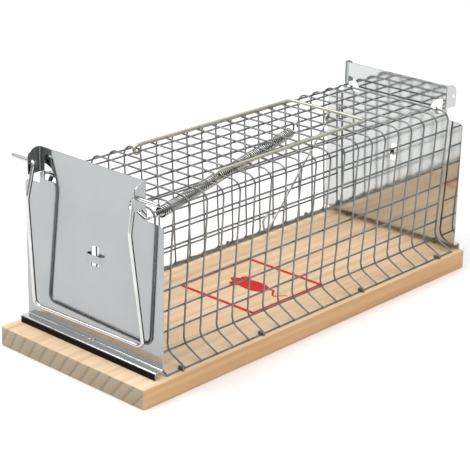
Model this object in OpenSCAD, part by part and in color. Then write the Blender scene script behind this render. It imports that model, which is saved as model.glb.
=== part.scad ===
// Live catch trap: welded wire cage on a wooden board, with two stamped end plates.
// Front plate is the door. Millimetres, origin at bottom centre, +Z up, door faces -Y.

/* [Board] */
// Width of the wooden board across the trap
board_width = 115.2; // [112:0.2:125]
// Thickness of the wooden board
board_thick = 11.5; // [10.5:0.1:11.5]
// Board end under the door
board_front = -143.35; // [-150:0.05:-142]
// Board end under the fixed plate
board_rear = 141.05; // [140:0.05:150]
// Radius on the four upright corners of the board
board_corner = 1.5; // [0.5:0.1:3]

/* [Cage] */
// Wire thickness of the welded mesh
wire = 1.0; // [0.8:0.05:1.05]
// Thickness of the round wire that closes each end of the cage
end_wire = 1.4; // [1.2:0.05:1.4]
// Height of the top wires
top_z = 102; // [102:0.1:102.2]
// Outward lean of the foot of the mesh
foot_x = 53.7; // [52:0.1:55]

/* [Plates] */
// Sheet thickness of the two stamped plates
sheet = 0.6; // [0.5:0.05:0.65]
// Half width of the lower part of each plate
plate_half = 53.7; // [50:0.1:56]
// Height of the shoulders of each plate
shoulder_z = 96; // [94:0.1:97]
// Height of the ears
ear_top = 117.5; // [116:0.1:120]
// Radial play of the bail in the holes of the ears
ear_play = 0.08; // [0.05:0.01:0.1]
// Bore radius of the rolled hinge knuckles
knuckle_bore = 0.78; // [0.76:0.01:0.8]

/* [Wires] */
// Thickness of the swinging bail on the door
bail_wire = 2.4; // [2.2:0.1:2.6]
// Length of the bail below its pivot
bail_drop = 84; // [80:0.5:85]
// Thickness of the long set lever
lever_wire = 2.2; // [2.0:0.1:2.5]
// Thickness of the bait hook wire
hook_wire = 1.4; // [1.2:0.1:1.8]
// Outer diameter of the closing spring
spring_od = 6.2; // [5:0.1:7]

/* [Hidden] */
cell = 12.7;
hoop_first = -122.45;
hoop_last = 131.55;
top_half = 38.95;
arc_r = 5.5;
lean = 3.1;
bend_x = 40.3;
bend_z = 18.5;
bend_r = 7;
row_z = [90.3, 78.1, 65.9, 53.7, 41.5, 29.3];
long_x = [-31.75, -19.05, -6.35, 6.35, 19.05, 31.75];
arc_end_x = top_half + arc_r * cos(lean);
arc_end_z = top_z - arc_r - arc_r * sin(lean);
bend_wire = wire * 1.1;
foot_z = board_thick + bend_wire / 2;
flare_dx = foot_x - bend_x;
flare_dz = foot_z - bend_z;
flare_angle = atan2(-flare_dz, flare_dx);
flare_len = sqrt(flare_dx * flare_dx + flare_dz * flare_dz);
side_dx = bend_x - arc_end_x;
side_dz = bend_z - arc_end_z;
side_angle = atan2(-side_dx, -side_dz);
side_len = sqrt(side_dx * side_dx + side_dz * side_dz);
bend_turn = 90 + side_angle - flare_angle;
bend_cut = bend_r * tan(bend_turn / 2);
bend_cx = bend_x + bend_cut * sin(side_angle) + bend_r * cos(side_angle);
bend_cz = bend_z + bend_cut * cos(side_angle) - bend_r * sin(side_angle);
door_out = -125.75;
door_in = door_out + sheet;
mirror_y = (hoop_first + hoop_last) / 2;
ear_x = 41.3;
ear_len = 8.5;
ear_base = 103;
ear_hole = bail_wire + 2 * ear_play;
pivot_y = -131.75;
pivot_z = 110;
lip_out = 5.7;
lip_top = 16;
lip_low = board_thick + 0.5;
lever_y = hoop_first + 5 * cell;
lever_z = 104.5;
hook_y = hoop_first + 15 * cell;
spring_z = top_z - wire / 2 - spring_od / 2 - 0.25;
staple_y = [-111.9, -48.3, 40.5, 116.7];
$fn = 48;

// Straight round wire between two points
module rod(a, b, d) {
    v = b - a;
    len = norm(v);
    turn = atan2(v[1], v[0]);
    tilt = acos(v[2] / len);
    translate(a) rotate([0, tilt, turn]) cylinder(h = len, d = d);
}

// Rounded joint between two straight wires, a touch fuller than the wire
module knot(p, d) {
    translate(p) sphere(d = d * 1.05);
}

// Round wire through a list of points
module wire_path(pts, d) {
    for (i = [0 : len(pts) - 2]) {
        rod(pts[i], pts[i + 1], d);
    }
    for (i = [1 : len(pts) - 2]) {
        knot(pts[i], d);
    }
}

// Copy on the -X side
module left_side() {
    mirror([1, 0, 0]) children();
}

// Copy at the rear end
module at_rear() {
    translate([0, 2 * mirror_y, 0]) mirror([0, 1, 0]) children();
}

module base_board() {
    color([0.78, 0.62, 0.42])
    translate([0, board_front, 0])
    linear_extrude(board_thick)
    union() {
        translate([-board_width / 2 + board_corner, 0])
            square([board_width - 2 * board_corner, board_rear - board_front]);
        translate([-board_width / 2, board_corner])
            square([board_width, board_rear - board_front - 2 * board_corner]);
        for (x = [-1, 1]) {
            for (y = [board_corner, board_rear - board_front - board_corner]) {
                translate([x * (board_width / 2 - board_corner), y])
                    circle(r = board_corner);
            }
        }
    }
}

module mesh_top() {
    color([0.62, 0.63, 0.64])
    union() {
        translate([0, 0, top_z - wire / 2])
        linear_extrude(wire)
        union() {
            for (x = long_x) {
                translate([x - wire / 2, hoop_first])
                    square([wire, hoop_last - hoop_first]);
            }
            for (i = [1 : 19]) {
                if (i != 5 && i != 15) {
                    translate([-top_half, hoop_first + i * cell - wire / 2])
                        square([2 * top_half, wire]);
                }
            }
        }
        for (y = [lever_y, hook_y]) {
            rod([-top_half, y, top_z], [top_half, y, top_z], wire);
        }
        for (y = [hoop_first, hoop_last]) {
            rod([-top_half, y, top_z], [top_half, y, top_z], end_wire);
        }
    }
}

module mesh_corner() {
    color([0.60, 0.61, 0.62])
    union() {
        for (i = [0 : 20]) {
            translate([top_half, hoop_first + i * cell, top_z - arc_r])
            rotate([90, lean, 0])
            rotate_extrude(angle = 90 + lean)
            translate([arc_r - wire / 2, -wire / 2])
            square([wire, wire]);
        }
        rod([top_half + arc_r * cos(45), hoop_first, top_z - arc_r + arc_r * sin(45)],
            [top_half + arc_r * cos(45), hoop_last, top_z - arc_r + arc_r * sin(45)],
            bend_wire);
    }
}

module mesh_corner_right() {
    mesh_corner();
}

module mesh_corner_left() {
    left_side() mesh_corner();
}

module mesh_side() {
    color([0.62, 0.63, 0.64])
    translate([arc_end_x, 0, arc_end_z])
    rotate([0, side_angle, 0])
    rotate([0, 90, 0])
    translate([0, 0, -wire / 2])
    linear_extrude(wire)
    union() {
        for (i = [0 : 20]) {
            translate([0, hoop_first + i * cell - wire / 2])
                square([side_len - bend_cut, wire]);
        }
        for (z = row_z) {
            translate([(arc_end_z - z) / cos(side_angle) - wire / 2, hoop_first])
                square([wire, hoop_last - hoop_first]);
        }
    }
}

module mesh_side_right() {
    mesh_side();
}

module mesh_side_left() {
    left_side() mesh_side();
}

// Quarter bends where the sides of the cage turn out into the foot
module mesh_bend() {
    color([0.60, 0.61, 0.62])
    union() {
        for (i = [0 : 20]) {
            translate([bend_cx, hoop_first + i * cell, bend_cz])
            rotate([90, 180 + side_angle, 0])
            rotate_extrude(angle = bend_turn)
            translate([bend_r - wire / 2, -wire / 2])
            square([wire, wire]);
        }
        rod([bend_cx - bend_r * cos(42), hoop_first, bend_cz - bend_r * sin(42)],
            [bend_cx - bend_r * cos(42), hoop_last, bend_cz - bend_r * sin(42)], bend_wire);
    }
}

module mesh_bend_right() {
    mesh_bend();
}

module mesh_bend_left() {
    left_side() mesh_bend();
}

module mesh_flare() {
    color([0.62, 0.63, 0.64])
    union() {
        translate([bend_x, 0, bend_z])
        rotate([0, flare_angle, 0])
        translate([bend_cut, 0, -wire / 2])
        linear_extrude(wire)
        for (i = [0 : 20]) {
            translate([0, hoop_first + i * cell - wire / 2])
                square([flare_len - bend_cut, wire]);
        }
        rod([foot_x, hoop_first - wire / 2, foot_z], [foot_x, hoop_last + wire / 2, foot_z],
            bend_wire);
    }
}

module mesh_flare_right() {
    mesh_flare();
}

module mesh_flare_left() {
    left_side() mesh_flare();
}

module staples() {
    color([0.55, 0.55, 0.56])
    for (y = staple_y) {
        union() {
            rod([foot_x - 1.6, y, 4], [foot_x - 1.6, y, foot_z + 1.3], 1.4);
            rod([foot_x + 1.6, y, 4], [foot_x + 1.6, y, foot_z + 1.3], 1.4);
            rod([foot_x - 1.6, y, foot_z + 1.3], [foot_x + 1.6, y, foot_z + 1.3], 1.4);
            knot([foot_x - 1.6, y, foot_z + 1.3], 1.4);
            knot([foot_x + 1.6, y, foot_z + 1.3], 1.4);
        }
    }
}

module staples_right() {
    staples();
}

module staples_left() {
    left_side() staples();
}

// Outline of a stamped plate, seen from its own outer side
module plate_outline() {
    difference() {
        union() {
            translate([-plate_half, lip_top - sheet])
                square([2 * plate_half, shoulder_z - 3 - lip_top + sheet]);
            translate([-plate_half + 3, shoulder_z - 3.5])
                square([2 * plate_half - 6, 3.5]);
            for (x = [-1, 1]) {
                translate([x * (plate_half - 3), shoulder_z - 3])
                    circle(r = 3);
            }
            translate([-ear_x, shoulder_z - 1])
                square([2 * ear_x, ear_top - shoulder_z + 1]);
        }
        for (x = [-1, 1]) {
            translate([x * 37.6, 99])
            intersection() {
                circle(r = 9.5);
                translate([x < 0 ? 0 : -10, 0])
                    square([10, 10]);
            }
        }
        translate([-0.8, 59.8])
            square([5.8, 11.6]);
    }
}

module plate_panel() {
    color([0.80, 0.81, 0.82])
    translate([0, door_in, 0])
    rotate([90, 0, 0])
    linear_extrude(sheet)
    plate_outline();
}

module plate_lip() {
    color([0.72, 0.73, 0.74])
    translate([-plate_half, 0, 0])
    rotate([90, 0, 90])
    linear_extrude(2 * plate_half)
    union() {
        translate([door_out - lip_out, lip_top - sheet])
            square([lip_out, sheet]);
        translate([door_out - lip_out, lip_low])
            square([sheet, lip_top - lip_low]);
    }
}

// Pressed bridge across the window of a plate
module plate_tab() {
    color([0.76, 0.77, 0.78])
    translate([0, 0, 62.8])
    linear_extrude(4.1)
    union() {
        translate([-4, door_out - 2.2])
            square([14, sheet]);
        translate([-4, door_out - 2.2])
            square([sheet, 2.2]);
        translate([10 - sheet, door_out - 2.2])
            square([sheet, 2.2]);
    }
}

// Folded ear, with the hole for the bail
module plate_ear() {
    color([0.78, 0.79, 0.80])
    translate([ear_x - sheet, 0, 0])
    rotate([90, 0, 90])
    linear_extrude(sheet)
    difference() {
        union() {
            translate([door_out - ear_len, ear_base])
                square([ear_len, ear_top - ear_base - 6]);
            translate([door_out - ear_len + 6, ear_top - 6.5])
                square([ear_len - 6, 6.5]);
            translate([door_out - ear_len + 6, ear_top - 6])
            intersection() {
                circle(r = 6);
                translate([-6, -0.1])
                    square([6.1, 6.1]);
            }
        }
        translate([pivot_y, pivot_z])
            circle(d = ear_hole);
    }
}

// Rolled knuckles that wrap the end wire of the cage
module plate_knuckles() {
    color([0.74, 0.75, 0.76])
    for (x = [32.6, -35.4]) {
        translate([x, 0, 0])
        rotate([90, 0, 90])
        linear_extrude(2.8)
        difference() {
            union() {
                translate([hoop_first, top_z])
                    circle(r = 2);
                polygon([[door_in, 98.1], [door_in, 98.9],
                    [hoop_first - 1.4, 101.2], [hoop_first - 0.9, 100.6]]);
            }
            translate([hoop_first, top_z])
                circle(r = knuckle_bore);
        }
    }
}

module door_panel() {
    plate_panel();
}

module door_lip() {
    plate_lip();
}

module door_tab() {
    plate_tab();
}

module door_ear_right() {
    plate_ear();
}

module door_ear_left() {
    left_side() plate_ear();
}

module door_knuckles() {
    plate_knuckles();
}

module rear_panel() {
    at_rear() plate_panel();
}

module rear_lip() {
    at_rear() plate_lip();
}

module rear_ear_right() {
    at_rear() plate_ear();
}

module rear_ear_left() {
    at_rear() left_side() plate_ear();
}

module rear_knuckles() {
    at_rear() plate_knuckles();
}

module rear_nails() {
    color([0.58, 0.58, 0.59])
    for (x = [-36, 36]) {
        translate([x, 137.7, 0])
        union() {
            translate([0, 0, 3])
                cylinder(h = lip_top + 0.1 - 3, d = 1.6);
            translate([0, 0, lip_top])
                cylinder(h = 0.8, d = 3.6);
        }
    }
}

module closing_spring() {
    a = [38, -112.6, spring_z];
    b = [-3.6, 37.5, spring_z];
    v = b - a;
    ridges = floor(norm(v) / 2.4);
    step = norm(v) / ridges;
    ridge_r = 0.8;
    color([0.45, 0.42, 0.38])
    union() {
        translate(a)
        rotate([0, 90, atan2(v[1], v[0])])
        rotate_extrude()
        union() {
            translate([0, 0])
                square([spring_od / 2 - ridge_r, norm(v)]);
            for (i = [0 : ridges - 1]) {
                translate([spring_od / 2 - ridge_r, (i + 0.5) * step])
                    circle(r = ridge_r);
            }
        }
        wire_path([a, [41.6, -118, 98.2], [42.1, -127.4, 98.4], [36.6, -127.4, 100.4],
            [36.6, -123.7, 100.4]], 1.2);
        wire_path([b, [-3.6, 40.9, 98.8], [-3.6, 40.9, 103.3], [-3.6, 44.4, 103.3],
            [-3.6, 44.4, 100.2]], 1.2);
    }
}

module bail() {
    kink_z = pivot_z - 19.6;
    foot_z_low = pivot_z - bail_drop;
    color([0.66, 0.65, 0.62])
    union() {
        rod([38.8, pivot_y, pivot_z], [56, pivot_y, pivot_z], bail_wire);
        rod([-56, pivot_y, pivot_z], [-38.8, pivot_y, pivot_z], bail_wire);
        wire_path([[38.8, pivot_y, pivot_z], [39.3, pivot_y - 3.8, kink_z],
            [42.2, pivot_y + 2.4, foot_z_low], [-41.2, pivot_y + 0.7, foot_z_low],
            [-39.3, pivot_y - 4.7, kink_z], [-38.8, pivot_y, pivot_z]], bail_wire);
        knot([38.8, pivot_y, pivot_z], bail_wire);
        knot([-38.8, pivot_y, pivot_z], bail_wire);
    }
}

// Closed eye round a cross wire of the cage
module eye(x, y, ring, d) {
    translate([x, y, top_z])
    rotate([0, 90, 0])
    rotate_extrude()
    translate([ring, 0])
    circle(d = d);
}

module set_lever() {
    $fn = 40;
    color([0.62, 0.61, 0.55])
    union() {
        eye(-34.7, lever_y, 2.5, lever_wire - 0.3);
        eye(28.8, lever_y, 2.5, lever_wire - 0.3);
        wire_path([[-34.7, lever_y, lever_z], [-35, 74.3, lever_z],
            [25, 74.3, lever_z], [28.8, lever_y, lever_z]], lever_wire);
        knot([-34.7, lever_y, lever_z], lever_wire);
        knot([28.8, lever_y, lever_z], lever_wire);
    }
}

module bait_hook() {
    color([0.58, 0.58, 0.57])
    union() {
        eye(0, hook_y, 2.1, hook_wire);
        wire_path([[0, hook_y, 99.9], [0, 77.8, 99.9], [0, 77.8, 107.5]], hook_wire);
        wire_path([[0, hook_y, 99.9], [0, 21.5, 46.5], [0, 16.5, 43.5], [0, 13.5, 47.5],
            [0, 16.5, 51]], hook_wire);
        knot([0, hook_y, 99.9], hook_wire);
        knot([0, 77.8, 107.5], hook_wire);
        knot([0, 16.5, 51], hook_wire);
    }
}

base_board();
mesh_top();
mesh_corner_left();
mesh_corner_right();
mesh_side_left();
mesh_side_right();
mesh_bend_left();
mesh_bend_right();
mesh_flare_left();
mesh_flare_right();
staples_left();
staples_right();
rear_panel();
rear_lip();
rear_ear_left();
rear_ear_right();
rear_knuckles();
rear_nails();
closing_spring();
door_panel();
door_lip();
door_tab();
door_ear_left();
door_ear_right();
door_knuckles();
bail();
set_lever();
bait_hook();
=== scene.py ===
import math
import random

import bmesh
import bpy
from mathutils import Matrix, Vector, noise


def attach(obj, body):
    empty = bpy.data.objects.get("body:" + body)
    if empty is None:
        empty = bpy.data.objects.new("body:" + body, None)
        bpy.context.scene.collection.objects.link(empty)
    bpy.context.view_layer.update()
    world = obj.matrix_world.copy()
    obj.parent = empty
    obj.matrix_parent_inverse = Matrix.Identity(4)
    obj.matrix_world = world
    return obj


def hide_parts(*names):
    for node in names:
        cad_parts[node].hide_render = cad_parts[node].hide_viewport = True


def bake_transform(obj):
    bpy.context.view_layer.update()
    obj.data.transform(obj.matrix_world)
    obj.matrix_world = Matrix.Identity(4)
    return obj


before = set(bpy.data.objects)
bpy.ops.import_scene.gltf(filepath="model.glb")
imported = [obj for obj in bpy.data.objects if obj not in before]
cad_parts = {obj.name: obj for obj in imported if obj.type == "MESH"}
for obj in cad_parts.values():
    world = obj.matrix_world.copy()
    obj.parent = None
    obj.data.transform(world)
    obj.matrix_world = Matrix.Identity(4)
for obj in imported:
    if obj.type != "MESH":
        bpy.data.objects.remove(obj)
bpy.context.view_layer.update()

MM = 0.001
rng = random.Random(11)

# ---------------------------------------------------------------- sizes, mm
CELL = 12.7
HOOP_FIRST = -122.45
HOOP_COUNT = 21
HOOP_LAST = HOOP_FIRST + CELL * (HOOP_COUNT - 1)
TOP_Z = 102.0
BOARD_LOW = (-57.6, -143.35, 0.0)
BOARD_HIGH = (57.6, 141.05, 11.5)
FOOT = (53.7, 12.0)
BEND = (40.3, 18.5)
SHOULDER = (44.75, 102.0)
ROW_Z = [90.3, 78.1, 65.9, 53.7, 41.5, 29.3]
SHEET = 0.6
PLATE_OUT = -125.75
MIRROR_Y = (HOOP_FIRST + HOOP_LAST) / 2
PIVOT = (-131.75, 110.0)
LEVER_Y = HOOP_FIRST + 5 * CELL
HOOK_Y = HOOP_FIRST + 15 * CELL
CORNER_R = 5.5
CORNER_CENTRE = (38.95, 96.5)
MESH_R = 0.55
END_HOOP_R = 0.6
CROSSING_R = 0.66
EAR_HOLE_R = 1.28
BAIL_R = 1.2
LEVER_R = 1.1
HOOK_R = 0.7
SPRING_WIRE_R = 0.6
STAPLE_R = 0.7
STAPLE_Y = (-111.9, -48.3, 40.5, 116.7)
NAIL_X = (-36, 36)
NAIL_Y = 137.7


# ---------------------------------------------------------------- materials
def new_material(name):
    mat = bpy.data.materials.new(name)
    mat.use_nodes = True
    tree = mat.node_tree
    bsdf = tree.nodes["Principled BSDF"]
    return mat, tree, bsdf


def add(tree, kind, **values):
    node = tree.nodes.new(kind)
    for key, value in values.items():
        setattr(node, key, value)
    return node


def noise_node(tree, coords, scale, detail=4.0, rough=0.55, stretch=None):
    tex = add(tree, "ShaderNodeTexNoise")
    tex.inputs["Scale"].default_value = scale
    tex.inputs["Detail"].default_value = detail
    tex.inputs["Roughness"].default_value = rough
    if stretch:
        mapping = add(tree, "ShaderNodeMapping")
        mapping.inputs["Scale"].default_value = stretch
        tree.links.new(coords, mapping.inputs["Vector"])
        tree.links.new(mapping.outputs["Vector"], tex.inputs["Vector"])
    else:
        tree.links.new(coords, tex.inputs["Vector"])
    return tex


def ramp_node(tree, source, stops):
    ramp = add(tree, "ShaderNodeValToRGB")
    elements = ramp.color_ramp.elements
    while len(elements) < len(stops):
        elements.new(0.5)
    for element, (position, colour) in zip(elements, stops):
        element.position = position
        element.color = (*colour, 1.0)
    tree.links.new(source, ramp.inputs["Fac"])
    return ramp


def bump_node(tree, source, strength, distance):
    bump = add(tree, "ShaderNodeBump")
    bump.inputs["Strength"].default_value = strength
    bump.inputs["Distance"].default_value = distance
    tree.links.new(source, bump.inputs["Height"])
    return bump


def calc(tree, operation, a, b=None):
    node = add(tree, "ShaderNodeMath", operation=operation)
    for socket, value in zip(node.inputs, (a, b)):
        if value is None:
            continue
        if isinstance(value, (int, float)):
            socket.default_value = value
        else:
            tree.links.new(value, socket)
    return node.outputs["Value"]


def step_node(tree, source, start, full):
    node = add(tree, "ShaderNodeMapRange", interpolation_type="SMOOTHSTEP")
    node.inputs["From Min"].default_value = start
    node.inputs["From Max"].default_value = full
    tree.links.new(source, node.inputs["Value"])
    return node.outputs["Result"]


def tint(tree, base, factor, tone):
    mix = add(tree, "ShaderNodeMix", data_type="RGBA")
    tree.links.new(factor, mix.inputs[0])
    tree.links.new(base, mix.inputs[6])
    mix.inputs[7].default_value = (*tone, 1.0)
    return mix.outputs[2]


def facing(tree, direction):
    node = add(tree, "ShaderNodeVectorMath", operation="DOT_PRODUCT")
    tree.links.new(add(tree, "ShaderNodeTexCoord").outputs["Normal"], node.inputs[0])
    node.inputs[1].default_value = direction
    return node.outputs["Value"]


def metal(name, dark, light, rough_low, rough_high, scale, bump, painted_light=None):
    mat, tree, bsdf = new_material(name)
    coords = add(tree, "ShaderNodeTexCoord").outputs["Object"]
    patch = noise_node(tree, coords, scale)
    fine = noise_node(tree, coords, scale * 9, 6.0, 0.6)
    base = ramp_node(tree, patch.outputs["Fac"], [(0.3, dark), (0.7, light)]).outputs["Color"]
    # painted shade and highlight, laid on the base colour by the normal
    if painted_light:
        base = painted_light(tree, coords, base)
    tree.links.new(base, bsdf.inputs["Base Color"])
    bsdf.inputs["Metallic"].default_value = 1.0
    rough = add(tree, "ShaderNodeMapRange")
    rough.inputs["To Min"].default_value = rough_low
    rough.inputs["To Max"].default_value = rough_high
    tree.links.new(fine.outputs["Fac"], rough.inputs["Value"])
    tree.links.new(rough.outputs["Result"], bsdf.inputs["Roughness"])
    small = bump_node(tree, fine.outputs["Fac"], bump, 0.0004)
    tree.links.new(small.outputs["Normal"], bsdf.inputs["Normal"])
    return mat


def wire_painted_side_shade(tree, coords, base):
    """Bright wire with painted shade: a thin dark line along one side and a darker underside, set by the
    normal.
    """
    side = step_node(tree, facing(tree, (0.995, 0.10, 0.0)), 0.88, 0.965)
    under = step_node(tree, facing(tree, (0.15, -0.1, -0.98)), 0.50, 0.80)
    base = tint(tree, base, side, (0.03, 0.032, 0.03))
    return tint(tree, base, under, (0.06, 0.06, 0.055))


def mesh_painted_underside_shade(tree, coords, base):
    """Dipped zinc mesh wire with painted shade darkening its underside."""
    under = step_node(tree, facing(tree, (0.3, 0.2, -0.93)), 0.40, 0.80)
    return tint(tree, base, under, (0.07, 0.07, 0.065))


def coil_painted_gap_shade(tree, coords, base):
    """Painted shade between the turns of the spring: wire faces that point along the coil are darkened."""
    along = calc(tree, "ABSOLUTE", facing(tree, (-0.267, 0.964, 0.0)))
    return tint(tree, base, step_node(tree, along, 0.45, 0.85), (0.02, 0.02, 0.02))


def stamped(tree, coords, base):
    """Painted shade inside the folded ears and in the corner by the left notch, a painted highlight on
    faces turned up, and a black painted shadow on the lip's turned-down outer face.
    """
    place = add(tree, "ShaderNodeSeparateXYZ")
    tree.links.new(coords, place.inputs["Vector"])
    x, z = place.outputs["X"], place.outputs["Z"]
    # painted shade on faces turned inward, inside the folded ears
    inward = calc(tree, "MULTIPLY", calc(tree, "SIGN", x), facing(tree, (-1.0, 0.0, 0.0)))
    base = tint(tree, base, step_node(tree, inward, 0.2, 0.9), (0.13, 0.14, 0.14))
    # painted shade: a darker patch in the corner by the left ear's notch
    corner = calc(tree, "MULTIPLY", step_node(tree, x, -0.0365, -0.0405),
                  step_node(tree, z, 0.0985, 0.1035))
    base = tint(tree, base, corner, (0.16, 0.175, 0.17))
    # painted highlight: faces turned up are lighter
    top = step_node(tree, facing(tree, (0.0, 0.0, 1.0)), 0.5, 0.9)
    base = tint(tree, base, top, (0.80, 0.815, 0.82))
    # painted shadow: the outward face of the lip below its fold is black
    outward = calc(tree, "MULTIPLY", calc(tree, "SIGN", place.outputs["Y"]),
                   facing(tree, (0.0, 1.0, 0.0)))
    lip_painted_shadow = calc(tree, "MULTIPLY", step_node(tree, outward, 0.25, 0.6),
               step_node(tree, z, 0.0155, 0.0151))
    return tint(tree, base, lip_painted_shadow, (0.010, 0.010, 0.010))


def pine():
    mat, tree, bsdf = new_material("pine")
    coords = add(tree, "ShaderNodeTexCoord").outputs["Object"]
    warp = noise_node(tree, coords, 9.0, 3.0, 0.5, (1.0, 0.12, 1.0))
    split = add(tree, "ShaderNodeSeparateXYZ")
    tree.links.new(coords, split.inputs["Vector"])
    # growth rings round a pith that runs along the board, well outside it
    dx = calc(tree, "SUBTRACT", split.outputs["X"], 0.28)
    dz = calc(tree, "SUBTRACT", split.outputs["Z"], -0.20)
    radius = calc(tree, "SQRT", calc(tree, "ADD", calc(tree, "MULTIPLY", dx, dx),
                                     calc(tree, "MULTIPLY", dz, dz)))
    wobble = calc(tree, "MULTIPLY", calc(tree, "SUBTRACT", warp.outputs["Fac"], 0.5), 0.012)
    ring = calc(tree, "FRACT", calc(tree, "MULTIPLY", calc(tree, "ADD", radius, wobble), 150.0))
    rings = ramp_node(tree, ring, [
        (0.0, (0.62, 0.62, 0.62)), (0.62, (0.70, 0.70, 0.70)),
        (0.86, (0.42, 0.42, 0.42)), (1.0, (0.62, 0.62, 0.62))])
    fibre = noise_node(tree, coords, 260.0, 5.0, 0.6, (1.0, 0.02, 1.0))
    blotch = noise_node(tree, coords, 16.0, 3.0, 0.5, (1.0, 0.25, 1.0))
    tone = calc(tree, "ADD", calc(tree, "MULTIPLY", rings.outputs["Color"], 0.34),
                calc(tree, "ADD", calc(tree, "MULTIPLY", fibre.outputs["Fac"], 0.56),
                     calc(tree, "MULTIPLY", blotch.outputs["Fac"], 0.20)))
    colour = ramp_node(tree, tone, [
        (0.37, (0.54, 0.33, 0.185)), (0.54, (0.75, 0.535, 0.335)),
        (0.72, (0.88, 0.68, 0.47))]).outputs["Color"]
    # the long edges are painted darker and yellower as shade on the sides, and the sawn ends greyer with
    # darker rings
    edge = add(tree, "ShaderNodeMix", data_type="RGBA", blend_type="MULTIPLY")
    tree.links.new(calc(tree, "ABSOLUTE", facing(tree, (1.0, 0.0, 0.0))), edge.inputs[0])
    tree.links.new(colour, edge.inputs[6])
    edge.inputs[7].default_value = (0.86, 0.70, 0.52, 1.0)
    pores = noise_node(tree, coords, 900.0, 3.0, 0.6)
    end_tone = calc(tree, "ADD", calc(tree, "MULTIPLY", rings.outputs["Color"], 0.7),
                    calc(tree, "MULTIPLY", pores.outputs["Fac"], 0.35))
    end_colour = ramp_node(tree, end_tone, [
        (0.40, (0.20, 0.15, 0.10)), (0.62, (0.37, 0.295, 0.21)), (0.84, (0.46, 0.375, 0.275))])
    mix = add(tree, "ShaderNodeMix", data_type="RGBA")
    endwise = calc(tree, "ABSOLUTE", facing(tree, (0.0, 1.0, 0.0)))
    tree.links.new(calc(tree, "POWER", endwise, 3.0), mix.inputs[0])
    tree.links.new(edge.outputs[2], mix.inputs[6])
    tree.links.new(end_colour.outputs["Color"], mix.inputs[7])
    tree.links.new(mix.outputs[2], bsdf.inputs["Base Color"])
    bsdf.inputs["Roughness"].default_value = 0.62
    bump = bump_node(tree, tone, 0.35, 0.0006)
    tree.links.new(bump.outputs["Normal"], bsdf.inputs["Normal"])
    return mat


def ink():
    mat, tree, bsdf = new_material("red_print")
    coords = add(tree, "ShaderNodeTexCoord").outputs["Object"]
    wear = noise_node(tree, coords, 700.0, 5.0, 0.7)
    colour = ramp_node(tree, wear.outputs["Fac"], [
        (0.36, (0.56, 0.015, 0.015)), (0.64, (0.66, 0.045, 0.035))])
    tree.links.new(colour.outputs["Color"], bsdf.inputs["Base Color"])
    bsdf.inputs["Roughness"].default_value = 0.75
    bsdf.inputs["Specular IOR Level"].default_value = 0.15
    return mat


def plain(name, colour, roughness):
    mat, tree, bsdf = new_material(name)
    coords = add(tree, "ShaderNodeTexCoord").outputs["Object"]
    speck = noise_node(tree, coords, 3.0)
    shade = ramp_node(tree, speck.outputs["Fac"], [
        (0.3, tuple(c * 0.985 for c in colour)), (0.7, colour)])
    tree.links.new(shade.outputs["Color"], bsdf.inputs["Base Color"])
    bsdf.inputs["Roughness"].default_value = roughness
    return mat


MESH_ZINC = metal("mesh_zinc", (0.17, 0.18, 0.18), (0.32, 0.33, 0.33),
                  0.26, 0.40, 90.0, 0.3, mesh_painted_underside_shade)
# front_zinc and rear_zinc are one zinc in two brightnesses: a darker and a lighter copy painted for how
# each plate is lit
FRONT_ZINC = metal("front_zinc", (0.37, 0.38, 0.385), (0.41, 0.42, 0.425),
                   0.07, 0.14, 30.0, 0.03, stamped)
REAR_ZINC = metal("rear_zinc", (0.545, 0.56, 0.555), (0.60, 0.61, 0.605),
                  0.05, 0.11, 30.0, 0.03, stamped)
LEVER_WIRE = metal("lever_wire", (0.48, 0.475, 0.40), (0.66, 0.65, 0.56),
                   0.28, 0.40, 60.0, 0.05)
BAIL_WIRE = metal("bail_wire", (0.56, 0.565, 0.56), (0.72, 0.72, 0.71),
                  0.12, 0.22, 60.0, 0.05, wire_painted_side_shade)
HOOK_WIRE = metal("hook_wire", (0.40, 0.40, 0.40), (0.56, 0.56, 0.56),
                  0.25, 0.40, 60.0, 0.10)
SPRING_STEEL = metal("spring_steel", (0.72, 0.72, 0.71), (0.86, 0.86, 0.85),
                     0.14, 0.24, 80.0, 0.05, coil_painted_gap_shade)
FIXING_STEEL = metal("fixing_steel", (0.14, 0.14, 0.135), (0.26, 0.26, 0.25),
                     0.25, 0.45, 80.0, 0.2)
PINE = pine()
INK = ink()


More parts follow.
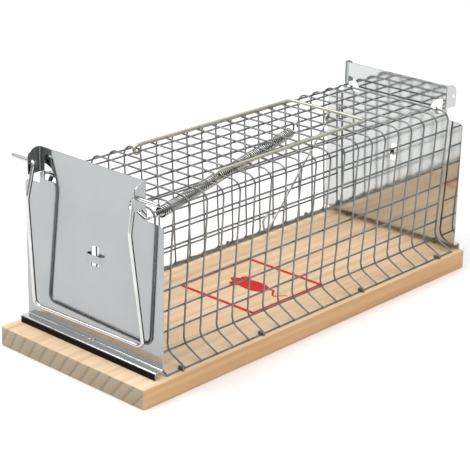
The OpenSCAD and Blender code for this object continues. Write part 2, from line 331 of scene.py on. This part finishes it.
# ---------------------------------------------------------------- mesh code
class Shape:
    """Vertices and faces in millimetres, gathered into one object."""

    def __init__(self):
        self.verts = []
        self.faces = []

    def extend(self, verts, faces):
        offset = len(self.verts)
        self.verts.extend(verts)
        self.faces.extend([tuple(i + offset for i in face) for face in faces])

    def tube(self, points, radius, sides=12):
        points = [Vector(p) for p in points]
        count = len(points)
        tangents = []
        for i in range(count):
            a = points[max(i - 1, 0)]
            b = points[min(i + 1, count - 1)]
            tangents.append((b - a).normalized())
        helper = Vector((0, 0, 1)) if abs(tangents[0].z) < 0.9 else Vector((1, 0, 0))
        side = tangents[0].cross(helper).normalized()
        verts = []
        faces = []
        previous = tangents[0]
        rings = []
        for i in range(count):
            turn = previous.rotation_difference(tangents[i])
            side = (turn @ side).normalized()
            previous = tangents[i]
            up = tangents[i].cross(side).normalized()
            rings.append((points[i], side.copy(), up, radius))
        first, last = rings[0], rings[-1]
        rings.insert(0, (first[0] - tangents[0] * radius * 0.25, first[1], first[2],
                         radius * 0.78))
        rings.append((last[0] + tangents[-1] * radius * 0.25, last[1], last[2], radius * 0.78))
        for centre, side, up, r in rings:
            for k in range(sides):
                angle = 2 * math.pi * k / sides
                verts.append(tuple(centre + side * (r * math.cos(angle))
                                   + up * (r * math.sin(angle))))
        for i in range(len(rings) - 1):
            for k in range(sides):
                n = (k + 1) % sides
                faces.append((i * sides + k, i * sides + n, (i + 1) * sides + n, (i + 1) * sides + k))
        faces.append(tuple(range(sides - 1, -1, -1)))
        top = (len(rings) - 1) * sides
        faces.append(tuple(top + k for k in range(sides)))
        self.extend(verts, faces)

    def ribbon(self, path, thickness, low, high, place):
        """A sheet strip: a flat path drawn out from low to high. place(a, b, c) gives x, y, z."""
        count = len(path)
        outer, inner = [], []
        for i in range(count):
            ax, ay = path[max(i - 1, 0)]
            bx, by = path[min(i + 1, count - 1)]
            length = math.hypot(bx - ax, by - ay)
            nx, ny = -(by - ay) / length, (bx - ax) / length
            x, y = path[i]
            outer.append((x + nx * thickness / 2, y + ny * thickness / 2))
            inner.append((x - nx * thickness / 2, y - ny * thickness / 2))
        loop = outer + inner[::-1]
        size = len(loop)
        verts = [place(a, b, low) for a, b in loop] + [place(a, b, high) for a, b in loop]
        faces = []
        for i in range(size):
            n = (i + 1) % size
            faces.append((i, n, size + n, size + i))
        for i in range(count - 1):
            j = size - 1 - i
            faces.append((i, j, j - 1, i + 1))
            faces.append((size + i, size + i + 1, size + j - 1, size + j))
        self.extend(verts, faces)

    def ball(self, centre, radius, rings=6, sides=8):
        verts = [(centre[0], centre[1], centre[2] + radius)]
        for i in range(1, rings):
            polar = math.pi * i / rings
            for k in range(sides):
                angle = 2 * math.pi * k / sides
                verts.append((centre[0] + radius * math.sin(polar) * math.cos(angle),
                              centre[1] + radius * math.sin(polar) * math.sin(angle),
                              centre[2] + radius * math.cos(polar)))
        verts.append((centre[0], centre[1], centre[2] - radius))
        faces = []
        for k in range(sides):
            n = (k + 1) % sides
            faces.append((0, 1 + k, 1 + n))
            for i in range(rings - 2):
                a = 1 + i * sides
                faces.append((a + k, a + sides + k, a + sides + n, a + n))
            a = 1 + (rings - 2) * sides
            faces.append((a + k, len(verts) - 1, a + n))
        self.extend(verts, faces)

    def flip_rear(self):
        """The same shape at the rear end, facing the other way."""
        out = Shape()
        out.verts = [(x, 2 * MIRROR_Y - y, z) for x, y, z in self.verts]
        out.faces = [tuple(reversed(face)) for face in self.faces]
        return out

    def build(self, name, material, sharp=40.0, weighted=False):
        mesh = bpy.data.meshes.new(name)
        mesh.from_pydata([(x * MM, y * MM, z * MM) for x, y, z in self.verts], [], self.faces)
        mesh.validate()
        bm = bmesh.new()
        bm.from_mesh(mesh)
        bmesh.ops.recalc_face_normals(bm, faces=bm.faces)
        bm.to_mesh(mesh)
        bm.free()
        mesh.polygons.foreach_set("use_smooth", [True] * len(mesh.polygons))
        mesh.set_sharp_from_angle(angle=math.radians(sharp))
        mesh.materials.append(material)
        obj = bpy.data.objects.new(name, mesh)
        bpy.context.scene.collection.objects.link(obj)
        if weighted:
            mod = obj.modifiers.new("normals", "WEIGHTED_NORMAL")
            mod.keep_sharp = True
        return obj


def fillet(points, radii, step=1.2, segments=8):
    """A path with its corners rounded, sampled along its straight runs."""
    points = [Vector(p) for p in points]
    out = [points[0]]
    for i in range(1, len(points) - 1):
        a, b, c = points[i - 1], points[i], points[i + 1]
        u = (a - b).normalized()
        v = (c - b).normalized()
        angle = u.angle(v)
        radius = radii[i - 1]
        if radius <= 0 or angle > math.pi - 1e-3:
            out.append(b)
            continue
        cut = min(radius / math.tan(angle / 2), (a - b).length * 0.49, (c - b).length * 0.49)
        radius = cut * math.tan(angle / 2)
        centre = b + (u + v).normalized() * (radius / math.sin(angle / 2))
        start = b + u * cut - centre
        turn = math.pi - angle
        axis = start.cross(b + v * cut - centre).normalized()
        for k in range(segments + 1):
            out.append(centre + Matrix.Rotation(turn * k / segments, 3, axis) @ start)
    out.append(points[-1])
    fine = [out[0]]
    for a, b in zip(out[:-1], out[1:]):
        parts = max(1, int((b - a).length / step))
        for k in range(1, parts + 1):
            fine.append(a.lerp(b, k / parts))
    return fine


# ---------------------------------------------------------------- board
def make_board():
    bm = bmesh.new()
    bmesh.ops.create_cube(bm, size=1.0)
    size = Vector(BOARD_HIGH) - Vector(BOARD_LOW)
    middle = (Vector(BOARD_HIGH) + Vector(BOARD_LOW)) / 2
    for vert in bm.verts:
        vert.co = Vector((vert.co.x * size.x, vert.co.y * size.y, vert.co.z * size.z)) + middle
    upright = [e for e in bm.edges if abs(e.verts[0].co.z - e.verts[1].co.z) > 1]
    bmesh.ops.bevel(bm, geom=upright, offset=1.5, segments=4, affect="EDGES", profile=0.5)
    level = [e for e in bm.edges if abs(e.verts[0].co.z - e.verts[1].co.z) < 0.01
             and len(e.link_faces) == 2 and abs(e.calc_face_angle(0.0)) > 1.0]
    bmesh.ops.bevel(bm, geom=level, offset=0.5, segments=3, affect="EDGES", profile=0.5)
    bmesh.ops.scale(bm, vec=(MM, MM, MM), verts=bm.verts)
    mesh = bpy.data.meshes.new("pine_board")
    bm.to_mesh(mesh)
    bm.free()
    mesh.polygons.foreach_set("use_smooth", [True] * len(mesh.polygons))
    mesh.set_sharp_from_angle(angle=math.radians(40))
    mesh.materials.append(PINE)
    obj = bpy.data.objects.new("pine_board", mesh)
    bpy.context.scene.collection.objects.link(obj)
    return obj


board = make_board()
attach(board, "cage")
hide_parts("base_board")

# ---------------------------------------------------------------- red print
PRINT_LOW = (-29.5, -30.2)
PRINT_HIGH = (31.4, 32.8)
PRINT_Z = BOARD_HIGH[2] + 0.10


def flat_shape(loops, name, material, z):
    curve = bpy.data.curves.new(name, "CURVE")
    curve.dimensions = "2D"
    curve.fill_mode = "BOTH"
    curve.extrude = 0.05 * MM
    for loop in loops:
        spline = curve.splines.new("POLY")
        spline.points.add(len(loop) - 1)
        for point, (x, y) in zip(spline.points, loop):
            point.co = (x * MM, y * MM, 0, 1)
        spline.use_cyclic_u = True
    curve.materials.append(material)
    obj = bpy.data.objects.new(name, curve)
    obj.location = (0, 0, z * MM)
    bpy.context.scene.collection.objects.link(obj)
    return obj


def oval(cx, cy, rx, ry, turn=0.0, count=40):
    c, s = math.cos(turn), math.sin(turn)
    return [(cx + rx * math.cos(a) * c - ry * math.sin(a) * s,
             cy + rx * math.cos(a) * s + ry * math.sin(a) * c)
            for a in (2 * math.pi * k / count for k in range(count))]


def rectangle(x0, y0, x1, y1):
    return [(x0, y0), (x1, y0), (x1, y1), (x0, y1)]


def stroke(points, widths):
    left, right = [], []
    for i, (x, y) in enumerate(points):
        ax, ay = points[max(i - 1, 0)]
        bx, by = points[min(i + 1, len(points) - 1)]
        length = math.hypot(bx - ax, by - ay)
        nx, ny = -(by - ay) / length, (bx - ax) / length
        w = widths[0] + (widths[1] - widths[0]) * i / (len(points) - 1)
        left.append((x + nx * w / 2, y + ny * w / 2))
        right.append((x - nx * w / 2, y - ny * w / 2))
    return left + right[::-1]


def make_print():
    """A plain red frame round a mouse seen from above."""
    x0, y0 = PRINT_LOW
    x1, y1 = PRINT_HIGH
    line = 2.5
    cx, cy = (x0 + x1) / 2, (y0 + y1) / 2
    body = []
    for k in range(48):
        a = 2 * math.pi * k / 48
        taper = 1.0 - 0.55 * (1 - math.cos(a)) / 2
        body.append((cx + 14.5 * math.cos(a) - 2, cy + 8.6 * math.sin(a) * taper))
    tail = [(cx + 11 + 1.25 * k, cy + 3.2 * math.sin(k * 0.62)) for k in range(13)]
    frame_loops = [rectangle(x0, y0, x1, y1),
                   rectangle(x0 + line, y0 + line, x1 - line, y1 - line)]
    return [
        flat_shape(frame_loops, "print_frame", INK, PRINT_Z),
        flat_shape([body], "print_body", INK, PRINT_Z),
        flat_shape([oval(cx - 9.0, cy + 5.0, 3.4, 3.0)], "print_ear_a", INK, PRINT_Z + 0.02),
        flat_shape([oval(cx - 9.0, cy - 5.0, 3.4, 3.0)], "print_ear_b", INK, PRINT_Z + 0.02),
        flat_shape([stroke(tail, (1.8, 0.7))], "print_tail", INK, PRINT_Z + 0.01),
    ]


for piece in make_print():
    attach(piece, "cage")


# ---------------------------------------------------------------- wire cage
HOOP_LIFT = 0.55
LONG_WIRE_DROP = 0.3


def make_cage():
    shape = Shape()
    section = [(FOOT[0] + 0.6, FOOT[1] - 0.1), BEND, SHOULDER,
               (-SHOULDER[0], SHOULDER[1]), (-BEND[0], BEND[1]), (-FOOT[0] - 0.6, FOOT[1] - 0.1)]
    base = fillet([(x, 0, z) for x, z in section], [7.0, CORNER_R, CORNER_R, 7.0], 1.3, 12)
    lengths = [0.0]
    for a, b in zip(base[:-1], base[1:]):
        lengths.append(lengths[-1] + (b - a).length)
    normals = []
    for i in range(len(base)):
        a, b = base[max(i - 1, 0)], base[min(i + 1, len(base) - 1)]
        t = (b - a).normalized()
        normals.append(Vector((t.z, 0, -t.x)))
    corner = (CORNER_CENTRE[0] + CORNER_R * math.cos(math.pi / 4),
              CORNER_CENTRE[1] + CORNER_R * math.sin(math.pi / 4))
    lines = [(FOOT[0], FOOT[1]), (41.92, 18.6)]
    lines += [(BEND[0] + (z - BEND[1]) * (SHOULDER[0] - BEND[0]) / (SHOULDER[1] - BEND[1]), z)
              for z in reversed(ROW_Z)]
    lines += [corner, (31.75, 102), (19.05, 102), (6.35, 102)]
    lines += [(-x, z) for x, z in reversed(lines)]
    marks = [min(range(len(base)), key=lambda i: (base[i].x - x) ** 2 + (base[i].z - z) ** 2)
             for x, z in lines]
    # hoops, on the outside
    for i in range(HOOP_COUNT):
        end = i in (0, HOOP_COUNT - 1)
        y = HOOP_FIRST + CELL * i
        seed = rng.uniform(0, 100)
        points = []
        for p, length, normal in zip(base, lengths, normals):
            lift = 0.0 if end else HOOP_LIFT
            sway = 0.0 if end else 0.7 * noise.noise(Vector((length * 0.035, seed, 0)))
            bow = 0.0 if end else 0.25 * noise.noise(Vector((length * 0.06, seed, 7)))
            points.append(p + normal * (lift + bow) + Vector((0, y + sway, 0)))
        shape.tube(points, END_HOOP_R if end else MESH_R, 10)
    # long wires, on the inside
    hoops = [HOOP_FIRST + CELL * i for i in range(HOOP_COUNT)]
    count = int((HOOP_LAST - HOOP_FIRST) / 1.3)
    for k, mark in enumerate(marks):
        normal = normals[mark]
        centre = Vector((lines[k][0], 0, lines[k][1]))
        seed = rng.uniform(0, 100)
        foot = k in (0, len(marks) - 1)
        points = []
        for n in range(count + 1):
            y = HOOP_FIRST - 0.3 + (HOOP_LAST - HOOP_FIRST + 0.6) * n / count
            bow = 0.0 if foot else 0.35 * noise.noise(Vector((y * 0.03, seed, 3))) - LONG_WIRE_DROP
            points.append(centre + normal * bow + Vector((0, y, 0)))
        shape.tube(points, MESH_R, 10)
    # zinc gathered at the crossings
    for y in hoops:
        for x, z in lines:
            shape.ball((x, y, z), CROSSING_R)
    return shape.build("wire_cage", MESH_ZINC, 60)


cage = make_cage()
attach(cage, "cage")
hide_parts("mesh_top", "mesh_corner_left", "mesh_corner_right", "mesh_side_left",
            "mesh_side_right", "mesh_bend_left", "mesh_bend_right", "mesh_flare_left", "mesh_flare_right")


# ---------------------------------------------------------------- stamped plates
def arc(cx, cy, r, start, end, count=10):
    return [(cx + r * math.cos(math.radians(start + (end - start) * k / count)),
             cy + r * math.sin(math.radians(start + (end - start) * k / count)))
            for k in range(count + 1)]


BEND_R = 0.8
EAR_FOLD = 39.9
EAR_BEND = (BEND_R + SHEET / 2) * math.pi / 2
EAR_END = EAR_FOLD + EAR_BEND + 8.5 - BEND_R
EAR_RELIEF = 102.7
LIP_TOP = 16.0
LIP_FOLD = LIP_TOP + BEND_R
LIP_RUN = 3.8
LIP_R = 0.5
LIP_BEND = (LIP_R + SHEET / 2) * math.pi / 2
LIP_END = LIP_FOLD - EAR_BEND - LIP_RUN - LIP_BEND - 3.2


def plate_loops():
    half = [(53.7, LIP_END), (53.7, 20.0)]
    half += arc(50.7, 93, 3, 0, 90)
    half += [(42.2, 96)] + arc(42.2, 96.9, 0.9, 270, 180, 4)
    half += [(41.3, 102.4), (39.7, 102.4), (39.7, 103.0), (EAR_END, 103.0)]
    half += arc(EAR_END - 6, 111.5, 6, 0, 90)
    left = [(-x, z) for x, z in reversed(half)]
    loops = [half + left]
    for side in (1, -1):
        loops.append([(side * x, z) for x, z in
                      [(37.6, 99), (28.1, 99)] + arc(37.6, 99, 9.5, 180, 90, 16)[1:]])
        hole_x = side * (EAR_FOLD + EAR_BEND + 6 - BEND_R)
        loops.append([(hole_x + EAR_HOLE_R * math.cos(a), 110 + EAR_HOLE_R * math.sin(a))
                      for a in (2 * math.pi * k / 28 for k in range(28))])
    loops.append([(-0.8, 59.8), (5.0, 59.8), (5.0, 71.4), (1.4, 71.4), (-0.8, 70.2)])
    loops.append([(1.5 * math.cos(a), LIP_TOP - 0.5 + 1.3 * math.sin(a))
                  for a in (2 * math.pi * k / 20 for k in range(20))])
    return loops


def fold(u, v, w):
    """Place of a point of the flat blank after folding. w is 0 on the outer face."""
    x, y, z = u, PLATE_OUT + w, v
    if v > EAR_RELIEF and abs(u) > EAR_FOLD:
        side = 1 if u > 0 else -1
        run = abs(u) - EAR_FOLD
        angle = min(run / (BEND_R + SHEET / 2), math.pi / 2)
        x = side * (EAR_FOLD + (BEND_R + w) * math.sin(angle))
        y = PLATE_OUT - BEND_R + (BEND_R + w) * math.cos(angle)
        if run > EAR_BEND:
            y -= run - EAR_BEND
    if v < LIP_FOLD:
        run = LIP_FOLD - v
        angle = min(run / (BEND_R + SHEET / 2), math.pi / 2)
        z = LIP_FOLD - (BEND_R + w) * math.sin(angle)
        y = PLATE_OUT - BEND_R + (BEND_R + w) * math.cos(angle)
        if run > EAR_BEND:
            run -= EAR_BEND
            y -= min(run, LIP_RUN)
            if run > LIP_RUN:
                run -= LIP_RUN
                angle = min(run / (LIP_R + SHEET / 2), math.pi / 2)
                r = LIP_R + SHEET - w
                y -= r * math.sin(angle)
                z += r * math.cos(angle) - r
                if run > LIP_BEND:
                    z -= run - LIP_BEND
    return x, y, z


def plate_shape():
    """The stamped sheet: flat blank with a small rounded edge, cut into strips, then folded."""
    edge = 0.09
    curve = bpy.data.curves.new("blank", "CURVE")
    curve.dimensions = "2D"
    curve.fill_mode = "BOTH"
    curve.extrude = SHEET / 2 - edge
    curve.bevel_depth = edge
    curve.bevel_resolution = 1
    curve.offset = -edge
    for loop in plate_loops():
        spline = curve.splines.new("POLY")
        spline.points.add(len(loop) - 1)
        for point, (x, y) in zip(spline.points, loop):
            point.co = (x, y, 0, 1)
        spline.use_cyclic_u = True
    obj = bpy.data.objects.new("blank", curve)
    bpy.context.scene.collection.objects.link(obj)
    mesh = bpy.data.meshes.new_from_object(obj.evaluated_get(bpy.context.evaluated_depsgraph_get()))
    bpy.data.objects.remove(obj)
    bpy.data.curves.remove(curve)
    bm = bmesh.new()
    bm.from_mesh(mesh)
    bpy.data.meshes.remove(mesh)
    bmesh.ops.remove_doubles(bm, verts=bm.verts, dist=0.0005)

    def cut(axis, position):
        normal = Vector((1, 0, 0)) if axis == 0 else Vector((0, 1, 0))
        geom = bm.verts[:] + bm.edges[:] + bm.faces[:]
        bmesh.ops.bisect_plane(bm, geom=geom, dist=1e-5, plane_co=normal * position,
                               plane_no=normal)

    for k in range(7):
        cut(0, EAR_FOLD + EAR_BEND * k / 6)
        cut(0, -EAR_FOLD - EAR_BEND * k / 6)
        cut(1, LIP_FOLD - EAR_BEND * k / 6)
        cut(1, LIP_FOLD - EAR_BEND - LIP_RUN - LIP_BEND * k / 6)
    for x in range(-48, 49, 12):
        cut(0, x + 0.01)
    for z in range(24, 96, 12):
        cut(1, z + 0.01)
    shape = Shape()
    shape.verts = [fold(v.co.x, v.co.y, SHEET / 2 - v.co.z) for v in bm.verts]
    shape.faces = [tuple(v.index for v in f.verts) for f in bm.faces]
    bm.free()
    return shape


def bridge_shape():
    """Pressed bridge over the window: a strip that stands out from the plate."""
    shape = Shape()
    path = [(p.x, p.y) for p in fillet(
        [(-5.2, PLATE_OUT + 0.3, 0), (-3.6, PLATE_OUT + 0.1, 0), (-1.8, PLATE_OUT - 1.9, 0),
         (7.8, PLATE_OUT - 1.9, 0), (9.7, PLATE_OUT + 0.1, 0), (11.2, PLATE_OUT + 0.3, 0)],
        [0.8, 1.0, 1.0, 0.8], 0.6, 5)]
    shape.ribbon(path, 0.5, 62.8, 66.9, lambda a, b, c: (a, b, c))
    return shape


def knuckle_shape():
    """Tongues from the lower edge of the quarter openings, rolled round the end wire."""
    shape = Shape()
    path = [(p.x, p.y) for p in fillet(
        [(PLATE_OUT + 0.3, 98.2, 0), (PLATE_OUT + 0.9, 98.9, 0)], [], 0.3)]
    path += arc(HOOP_FIRST, TOP_Z, 1.25, 215, 215 - 320, 26)
    for x in (32.6, -35.4):
        shape.ribbon(path, 0.55, x, x + 2.8, lambda a, b, c: (c, a, b))
    return shape


plate = plate_shape()
bridge = bridge_shape()
knuckles = knuckle_shape()
door_plate = plate.build("door_plate", FRONT_ZINC, 30, True)
door_bridge = bridge.build("door_bridge", FRONT_ZINC, 30)
door_rolls = knuckles.build("door_rolls", FRONT_ZINC, 40)
rear_plate = plate.flip_rear().build("rear_plate", REAR_ZINC, 30, True)
rear_bridge = bridge.flip_rear().build("rear_bridge", REAR_ZINC, 30)
rear_rolls = knuckles.flip_rear().build("rear_rolls", REAR_ZINC, 40)
for obj, body in ((door_plate, "door"), (door_bridge, "door"), (door_rolls, "door"),
                  (rear_plate, "cage"), (rear_bridge, "cage"), (rear_rolls, "cage")):
    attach(obj, body)
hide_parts("door_panel", "door_lip", "door_ear_left", "door_ear_right")
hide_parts("door_tab")
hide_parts("door_knuckles")
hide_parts("rear_panel", "rear_lip", "rear_ear_left", "rear_ear_right")
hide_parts("rear_knuckles")


# ---------------------------------------------------------------- wires
def make_bail():
    y, z = PIVOT
    path = fillet([(56.0, y, z), (38.8, y, z), (39.3, y - 3.6, z - 19.6), (42.2, y + 3.2, 26),
                   (-41.2, y + 0.5, 26), (-39.3, y - 4.8, z - 19.6), (-38.8, y, z), (-56.0, y, z)],
                  [1.9, 14, 4.2, 4.2, 14, 1.9], 1.5, 10)
    shape = Shape()
    shape.tube(path, BAIL_R, 24)
    return shape.build("bail_wire", BAIL_WIRE, 60)


bail = make_bail()
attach(bail, "bail")
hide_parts("bail")


def make_lever():
    z = 104.5

    def eye(x, start, end):
        return [Vector((x, LEVER_Y + 2.5 * math.cos(math.radians(a)),
                        TOP_Z + 2.5 * math.sin(math.radians(a))))
                for a in range(start, end, 15 if end > start else -15)]

    middle = fillet([(-34.7, LEVER_Y, z), (-35, 74.3, z), (25, 74.3, z), (28.8, LEVER_Y, z)],
                    [3.0, 3.0], 1.5, 10)
    path = eye(-34.7, -15 + 360, 90) + middle + eye(28.8, 90, 360)[1:]
    shape = Shape()
    shape.tube(path, LEVER_R, 20)
    return shape.build("lever_wire", LEVER_WIRE, 60)


lever = make_lever()
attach(lever, "set_lever")
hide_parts("set_lever")


def make_hook():
    start = math.degrees(math.atan2(-1.38, 1.58))
    ring = []
    for k in range(25):
        part = k / 24
        a = math.radians(start + (270 - start) * part)
        ring.append(Vector((-1.0 + 2.1 * part, HOOK_Y + 2.1 * math.cos(a),
                            TOP_Z + 2.1 * math.sin(a))))
    arm = fillet([(-1.0, 17.5, 52.5), (-1.0, 12.6, 49.5), (-1.0, 13.6, 42.6),
                  (-1.0, 18.4, 43.0), tuple(ring[0])],
                 [2.6, 2.8, 2.6], 1.5, 8)
    finger = fillet([tuple(ring[-1]), (1.1, 77.8, 99.9), (1.1, 77.8, 107.5)], [1.6], 1.2, 8)
    shape = Shape()
    shape.tube(arm[:-1] + ring + finger[1:], HOOK_R, 16)
    return shape.build("hook_wire", HOOK_WIRE, 60)


hook = make_hook()
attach(hook, "bait_hook")
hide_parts("bait_hook")


def make_spring():
    a = Vector((38, -112.6, 96.4))
    b = Vector((-3.6, 37.5, 98.15))
    along = (b - a).normalized()
    right = Vector((along.y, -along.x, 0)).normalized()
    up = Vector((0, 0, 1))
    radius = 2.6
    turns = 80
    steps = 20
    coil = []
    length = (b - a).length
    for k in range(turns * steps + steps // 2 + 1):
        angle = 2 * math.pi * k / steps
        run = length * k / (turns * steps + steps // 2)
        coil.append(a + along * run + right * (radius * math.cos(angle))
                    + up * (radius * math.sin(angle)))
    front = fillet([(36.6, -123.7, 100.4), (36.6, -127.4, 100.4), (42.1, -127.4, 98.0), (41.6, -118, 96.9),
                    tuple(coil[0])], [0.9, 1.2, 2.0], 0.8, 6)
    rear = fillet([tuple(coil[-1]), (-3.6, 40.9, 98.8), (-3.6, 40.9, 103.3), (-3.6, 44.4, 103.3),
                   (-3.6, 44.4, 100.2)], [1.2, 1.7, 1.7], 0.8, 6)
    shape = Shape()
    shape.tube(front[:-1] + coil + rear[1:], SPRING_WIRE_R, 8)
    return shape.build("spring_coil", SPRING_STEEL, 60)


spring = make_spring()
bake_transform(spring)
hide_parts("closing_spring")


def make_staples(side):
    shape = Shape()
    for y in STAPLE_Y:
        x = FOOT[0]
        tilt = rng.uniform(-0.25, 0.25)
        path = fillet([(side * (x - 1.6), y - tilt, 4), (side * (x - 1.6), y - tilt, 13.3),
                       (side * (x + 1.6), y + tilt, 13.3), (side * (x + 1.6), y + tilt, 4)],
                      [0.7, 0.7], 1.5, 5)
        shape.tube(path, STAPLE_R, 10)
    return shape


for side, name in ((1, "right"), (-1, "left")):
    staples = make_staples(side).build("staple_wires_" + name, FIXING_STEEL, 60)
    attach(staples, "cage")
    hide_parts("staples_" + name)


def lathe(shape, x, y, profile, sides=20):
    verts, faces = [], []
    for r, z in profile:
        for k in range(sides):
            angle = 2 * math.pi * k / sides
            verts.append((x + r * math.cos(angle), y + r * math.sin(angle), z))
    for i in range(len(profile) - 1):
        for k in range(sides):
            n = (k + 1) % sides
            faces.append((i * sides + k, i * sides + n, (i + 1) * sides + n, (i + 1) * sides + k))
    faces.append(tuple(range(sides - 1, -1, -1)))
    top = (len(profile) - 1) * sides
    faces.append(tuple(top + k for k in range(sides)))
    shape.extend(verts, faces)


nails = Shape()
for x in NAIL_X:
    lathe(nails, x, NAIL_Y, [(0.8, 3.0), (0.8, 16.0), (1.75, 16.02), (1.8, 16.15),
                             (1.78, 16.5), (1.6, 16.7), (1.0, 16.78)])
nails = nails.build("nail_heads", FIXING_STEEL, 35)
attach(nails, "cage")
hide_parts("rear_nails")

# ---------------------------------------------------------------- floor, light, camera
floor_mesh = bpy.data.meshes.new("floor")
floor_mesh.from_pydata([(-6, -6, 0), (6, -6, 0), (6, 6, 0), (-6, 6, 0)], [], [(0, 1, 2, 3)])
floor_mesh.materials.append(plain("pale_floor", (0.93, 0.93, 0.925), 0.6))
floor = bpy.data.objects.new("floor", floor_mesh)
bpy.context.scene.collection.objects.link(floor)

scene = bpy.context.scene
world = bpy.data.worlds.new("studio")
world.use_nodes = True
sky = world.node_tree
sky_coords = add(sky, "ShaderNodeTexCoord").outputs["Generated"]
sky_split = add(sky, "ShaderNodeSeparateXYZ")
sky.links.new(sky_coords, sky_split.inputs["Vector"])
sky_height = add(sky, "ShaderNodeMapRange")
sky_height.inputs["From Min"].default_value = -1.0
sky.links.new(sky_split.outputs["Z"], sky_height.inputs["Value"])
# a darker band near the horizon gives the bright wires their dark edges
sky_ramp = ramp_node(sky, sky_height.outputs["Result"], [
    (0.50, (0.20, 0.20, 0.20)), (0.60, (0.20, 0.20, 0.20)),
    (0.68, (1.0, 1.0, 1.0)), (1.0, (1.0, 1.0, 1.0))])
sky.links.new(sky_ramp.outputs["Color"], sky.nodes["Background"].inputs["Color"])
sky.nodes["Background"].inputs["Strength"].default_value = 0.85
scene.world = world


def area_light(name, place, target, size, power):
    data = bpy.data.lights.new(name, "AREA")
    data.shape = "RECTANGLE"
    data.size, data.size_y = size
    data.energy = power
    obj = bpy.data.objects.new(name, data)
    obj.location = place
    obj.rotation_euler = (Vector(target) - Vector(place)).to_track_quat("-Z", "Y").to_euler()
    scene.collection.objects.link(obj)
    return obj


area_light("key", (-0.55, -0.75, 1.15), (0, 0, 0.04), (0.9, 0.6), 9.0)
area_light("top", (0.15, 0.10, 1.30), (0, 0, 0.04), (1.2, 1.2), 8.0)

CAMERA_AT = Vector((0.5964, -0.6662, 0.3850))
CAMERA_TO = Vector((-0.0183, 0.0070, 0.0368))
CAMERA_ROLL = math.radians(1.227)
camera_data = bpy.data.cameras.new("camera")
camera_data.lens = 123.8
camera_data.sensor_width = 36.0
camera_data.clip_start = 0.01
camera_data.clip_end = 50
camera = bpy.data.objects.new("camera", camera_data)
scene.collection.objects.link(camera)
forward = (CAMERA_TO - CAMERA_AT).normalized()
right = forward.cross(Vector((0, 0, 1))).normalized()
up = right.cross(forward)
turned_right = right * math.cos(CAMERA_ROLL) + up * math.sin(CAMERA_ROLL)
turned_up = up * math.cos(CAMERA_ROLL) - right * math.sin(CAMERA_ROLL)
camera.matrix_world = Matrix((
    (turned_right.x, turned_up.x, -forward.x, CAMERA_AT.x),
    (turned_right.y, turned_up.y, -forward.y, CAMERA_AT.y),
    (turned_right.z, turned_up.z, -forward.z, CAMERA_AT.z),
    (0, 0, 0, 1)))
scene.camera = camera
scene.view_settings.view_transform = "Standard"
scene.view_settings.look = "None"
scene.view_settings.exposure = 0.0
